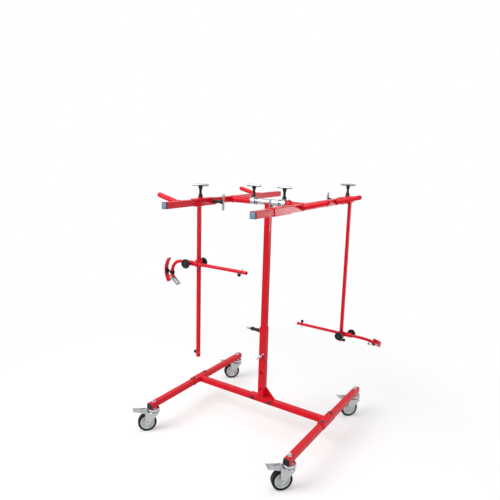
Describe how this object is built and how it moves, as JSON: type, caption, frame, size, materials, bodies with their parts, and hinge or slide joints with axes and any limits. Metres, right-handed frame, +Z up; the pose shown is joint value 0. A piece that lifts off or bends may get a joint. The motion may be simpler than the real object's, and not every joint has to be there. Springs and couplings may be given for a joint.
{
  "type": "door fender stand",
  "caption": "Wheeled red tubular stand with a telescopic mast and two tilting carriers whose horns, drop bars and grippers hold car body panels for painting.",
  "frame": {"origin": "on the floor, under the middle of the whole stand's box", "axes": "+X along the cross tube towards the right carrier, +Y along the rails, +Z up"},
  "size_m": [0.816, 0.8982, 1.0811],
  "materials": {
    "red_paint": "gloss",
    "zinc": "zinc plated",
    "black_handle": "satin",
    "black_plastic": "satin",
    "black_steel": "satin",
    "tyre": "matte",
    "hub_grey": "satin",
    "grey_cap": "matte",
    "chrome": "polished"
  },
  "bodies": {
    "base": {"left_rail": "red_paint", "right_rail": "red_paint", "rail_end_caps": "black_plastic", "cross_member": "red_paint", "frame_bolts": "black_steel", "mast_outer": "red_paint", "caster_bolts": "zinc"},
    "front_left_fork": {"front_left_fork": "zinc"},
    "front_left_wheel": {"front_left_hub": "hub_grey", "front_left_tyre": "tyre"},
    "front_left_pedal": {"front_left_pedal": "zinc"},
    "front_right_fork": {"front_right_fork": "zinc"},
    "front_right_wheel": {"front_right_hub": "hub_grey", "front_right_tyre": "tyre"},
    "front_right_pedal": {"front_right_pedal": "zinc"},
    "rear_left_fork": {"rear_left_fork": "zinc"},
    "rear_left_wheel": {"rear_left_hub": "hub_grey", "rear_left_tyre": "tyre"},
    "rear_left_pedal": {"rear_left_pedal": "zinc"},
    "rear_right_fork": {"rear_right_fork": "zinc"},
    "rear_right_wheel": {"rear_right_hub": "hub_grey", "rear_right_tyre": "tyre"},
    "rear_right_pedal": {"rear_right_pedal": "zinc"},
    "mast": {"mast_inner": "red_paint", "spindle_tube": "zinc", "spindle_washers": "black_plastic"},
    "mast_lock": {"mast_lock": "black_handle"},
    "height_pin": {"height_pin": "zinc"},
    "left_carrier": {"left_carrier": "red_paint", "left_carrier_caps": "grey_cap"},
    "left_spindle_lock": {"left_spindle_lock": "black_handle"},
    "left_slider": {"left_slider": "red_paint"},
    "left_slider_lock": {"left_slider_lock": "black_handle"},
    "left_side_lock": {"left_side_lock": "black_handle"},
    "left_drop_pin": {"left_drop_pin": "black_plastic"},
    "left_cross_clamp": {"left_cross_clamp": "red_paint"},
    "left_drop_knob": {"left_drop_knob": "black_plastic"},
    "left_rod_knob": {"left_rod_knob": "black_plastic"},
    "left_rod": {"left_rod": "red_paint"},
    "left_rod_pin": {"left_rod_pin": "black_plastic"},
    "left_gripper_arm": {"left_gripper_arm": "red_paint"},
    "left_jaw": {"left_jaw": "red_paint"},
    "left_lever": {"left_lever": "chrome"},
    "right_carrier": {"right_carrier": "red_paint", "right_carrier_caps": "grey_cap"},
    "right_spindle_lock": {"right_spindle_lock": "black_handle"},
    "right_slider": {"right_slider": "red_paint"},
    "right_slider_lock": {"right_slider_lock": "black_handle"},
    "right_side_lock": {"right_side_lock": "black_handle"},
    "right_drop_pin": {"right_drop_pin": "black_plastic"},
    "right_cross_clamp": {"right_cross_clamp": "red_paint"},
    "right_drop_knob": {"right_drop_knob": "black_plastic"},
    "right_rod_knob": {"right_rod_knob": "black_plastic"},
    "right_rod": {"right_rod": "red_paint"},
    "right_rod_pin": {"right_rod_pin": "black_plastic"},
    "right_gripper_arm": {"right_gripper_arm": "red_paint"},
    "right_jaw": {"right_jaw": "red_paint"},
    "right_lever": {"right_lever": "chrome"},
    "spare_slider": {"spare_slider": "red_paint"},
    "spare_side_lock": {"spare_side_lock": "black_handle"}
  },
  "joints": [
    {"name": "front_left_swivel", "type": "hinge", "parent": "base", "child": "front_left_fork", "pos_m": [-0.338, -0.346, 0.09], "axis": [0, 0, 1], "continuous": true},
    {"name": "front_left_roll", "type": "hinge", "parent": "front_left_fork", "child": "front_left_wheel", "pos_m": [-0.35637, -0.36713, 0.04], "axis": [0.7547, -0.6561, 0], "continuous": true},
    {"name": "front_left_brake", "type": "hinge", "parent": "front_left_fork", "child": "front_left_pedal", "pos_m": [-0.35899, -0.37015, 0.0885], "axis": [0.7547, -0.6561, 0], "range_deg": [0, 12]},
    {"name": "front_right_swivel", "type": "hinge", "parent": "base", "child": "front_right_fork", "pos_m": [0.338, -0.346, 0.09], "axis": [0, 0, 1], "continuous": true},
    {"name": "front_right_roll", "type": "hinge", "parent": "front_right_fork", "child": "front_right_wheel", "pos_m": [0.31963, -0.36713, 0.04], "axis": [0.7547, -0.6561, 0], "continuous": true},
    {"name": "front_right_brake", "type": "hinge", "parent": "front_right_fork", "child": "front_right_pedal", "pos_m": [0.31701, -0.37015, 0.0885], "axis": [0.7547, -0.6561, 0], "range_deg": [0, 12]},
    {"name": "rear_left_swivel", "type": "hinge", "parent": "base", "child": "rear_left_fork", "pos_m": [-0.338, 0.296, 0.09], "axis": [0, 0, 1], "continuous": true},
    {"name": "rear_left_roll", "type": "hinge", "parent": "rear_left_fork", "child": "rear_left_wheel", "pos_m": [-0.35637, 0.27487, 0.04], "axis": [0.7547, -0.6561, 0], "continuous": true},
    {"name": "rear_left_brake", "type": "hinge", "parent": "rear_left_fork", "child": "rear_left_pedal", "pos_m": [-0.35899, 0.27185, 0.0885], "axis": [0.7547, -0.6561, 0], "range_deg": [0, 12]},
    {"name": "rear_right_swivel", "type": "hinge", "parent": "base", "child": "rear_right_fork", "pos_m": [0.338, 0.296, 0.09], "axis": [0, 0, 1], "continuous": true},
    {"name": "rear_right_roll", "type": "hinge", "parent": "rear_right_fork", "child": "rear_right_wheel", "pos_m": [0.31963, 0.27487, 0.04], "axis": [0.7547, -0.6561, 0], "continuous": true},
    {"name": "rear_right_brake", "type": "hinge", "parent": "rear_right_fork", "child": "rear_right_pedal", "pos_m": [0.31701, 0.27185, 0.0885], "axis": [0.7547, -0.6561, 0], "range_deg": [0, 12]},
    {"name": "mast_height", "type": "slide", "parent": "base", "child": "mast", "axis": [0, 0, 1], "range_m": [0, 0.075]},
    {"name": "mast_lock_turn", "type": "hinge", "parent": "base", "child": "mast_lock", "pos_m": [-0.02, -0.025, 0.438], "axis": [-1, 0, 0], "continuous": true},
    {"name": "height_pin_pull", "type": "slide", "parent": "base", "child": "height_pin", "axis": [0, -1, 0], "range_m": [0, 0.045]},
    {"name": "left_carrier_tilt", "type": "hinge", "parent": "mast", "child": "left_carrier", "pos_m": [0.02, -0.025, 1.008], "axis": [1, 0, 0], "range_deg": [-60, 15]},
    {"name": "left_spindle_lock_turn", "type": "hinge", "parent": "mast", "child": "left_spindle_lock", "pos_m": [-0.054, -0.025, 1.048], "axis": [0, 0, 1], "continuous": true},
    {"name": "left_slider_travel", "type": "slide", "parent": "left_carrier", "child": "left_slider", "axis": [0, 1, 0], "range_m": [-0.055, 0.075]},
    {"name": "left_slider_lock_turn", "type": "hinge", "parent": "left_slider", "child": "left_slider_lock", "pos_m": [-0.174, -0.236, 1.048], "axis": [0, 0, 1], "continuous": true},
    {"name": "left_side_lock_turn", "type": "hinge", "parent": "left_slider", "child": "left_side_lock", "pos_m": [-0.134, -0.173, 1.008], "axis": [-1, 0, 0], "continuous": true},
    {"name": "left_drop_pin_pull", "type": "slide", "parent": "left_slider", "child": "left_drop_pin", "axis": [-1, 0, 0], "range_m": [0, 0.03]},
    {"name": "left_clamp_height", "type": "slide", "parent": "left_slider", "child": "left_cross_clamp", "axis": [0, 0, 1], "range_m": [-0.36, 0.2]},
    {"name": "left_drop_knob_turn", "type": "hinge", "parent": "left_cross_clamp", "child": "left_drop_knob", "pos_m": [-0.1957, -0.191, 0.748], "axis": [0, 1, 0], "continuous": true},
    {"name": "left_rod_knob_turn", "type": "hinge", "parent": "left_cross_clamp", "child": "left_rod_knob", "pos_m": [-0.2297, -0.2585, 0.748], "axis": [0, -1, 0], "continuous": true},
    {"name": "left_rod_reach", "type": "slide", "parent": "left_cross_clamp", "child": "left_rod", "axis": [-1, 0, 0], "range_m": [-0.006, 0.19]},
    {"name": "left_rod_pin_pull", "type": "slide", "parent": "left_rod", "child": "left_rod_pin", "axis": [0, -0.8192, -0.5736], "range_m": [0, 0.03]},
    {"name": "left_gripper_roll", "type": "hinge", "parent": "left_rod", "child": "left_gripper_arm", "pos_m": [-0.271, -0.2335, 0.748], "axis": [-1, 0, 0], "continuous": true},
    {"name": "left_jaw_open", "type": "hinge", "parent": "left_gripper_arm", "child": "left_jaw", "pos_m": [-0.327, -0.2335, 0.672], "axis": [0, -1, 0], "range_deg": [-25, 35]},
    {"name": "left_lever_turn", "type": "hinge", "parent": "left_gripper_arm", "child": "left_lever", "pos_m": [-0.327, -0.2335, 0.672], "axis": [0, -1, 0], "range_deg": [0, 70]},
    {"name": "right_carrier_tilt", "type": "hinge", "parent": "mast", "child": "right_carrier", "pos_m": [0.02, -0.025, 1.008], "axis": [1, 0, 0], "range_deg": [-15, 60]},
    {"name": "right_spindle_lock_turn", "type": "hinge", "parent": "mast", "child": "right_spindle_lock", "pos_m": [0.094, -0.025, 1.048], "axis": [0, 0, 1], "continuous": true},
    {"name": "right_slider_travel", "type": "slide", "parent": "right_carrier", "child": "right_slider", "axis": [0, 1, 0], "range_m": [-0.05, 0]},
    {"name": "right_slider_lock_turn", "type": "hinge", "parent": "right_slider", "child": "right_slider_lock", "pos_m": [0.214, 0.355, 1.048], "axis": [0, 0, 1], "continuous": true},
    {"name": "right_side_lock_turn", "type": "hinge", "parent": "right_slider", "child": "right_side_lock", "pos_m": [0.174, 0.292, 1.008], "axis": [1, 0, 0], "continuous": true},
    {"name": "right_drop_pin_pull", "type": "slide", "parent": "right_slider", "child": "right_drop_pin", "axis": [1, 0, 0], "range_m": [0, 0.03]},
    {"name": "right_clamp_height", "type": "slide", "parent": "right_slider", "child": "right_cross_clamp", "axis": [0, 0, 1], "range_m": [0, 0.55]},
    {"name": "right_drop_knob_turn", "type": "hinge", "parent": "right_cross_clamp", "child": "right_drop_knob", "pos_m": [0.2357, 0.31, 0.364], "axis": [0, -1, 0], "continuous": true},
    {"name": "right_rod_knob_turn", "type": "hinge", "parent": "right_cross_clamp", "child": "right_rod_knob", "pos_m": [0.2697, 0.3775, 0.364], "axis": [0, 1, 0], "continuous": true},
    {"name": "right_rod_reach", "type": "slide", "parent": "right_cross_clamp", "child": "right_rod", "axis": [1, 0, 0], "range_m": [-0.012, 0.19]},
    {"name": "right_rod_pin_pull", "type": "slide", "parent": "right_rod", "child": "right_rod_pin", "axis": [0, 0, 1], "range_m": [0, 0.03]},
    {"name": "right_gripper_roll", "type": "hinge", "parent": "right_rod", "child": "right_gripper_arm", "pos_m": [0.317, 0.3525, 0.364], "axis": [1, 0, 0], "continuous": true},
    {"name": "right_jaw_open", "type": "hinge", "parent": "right_gripper_arm", "child": "right_jaw", "pos_m": [0.373, 0.41832, 0.326], "axis": [0, 0.5, 0.866], "range_deg": [-25, 35]},
    {"name": "right_lever_turn", "type": "hinge", "parent": "right_gripper_arm", "child": "right_lever", "pos_m": [0.373, 0.41832, 0.326], "axis": [0, 0.5, 0.866], "range_deg": [0, 70]},
    {"name": "spare_slider_travel", "type": "slide", "parent": "right_carrier", "child": "spare_slider", "axis": [0, 1, 0], "range_m": [-0.1, 0.05]},
    {"name": "spare_side_lock_turn", "type": "hinge", "parent": "spare_slider", "child": "spare_side_lock", "pos_m": [0.174, -0.225, 1.008], "axis": [-1, 0, 0], "continuous": true}
  ]
}
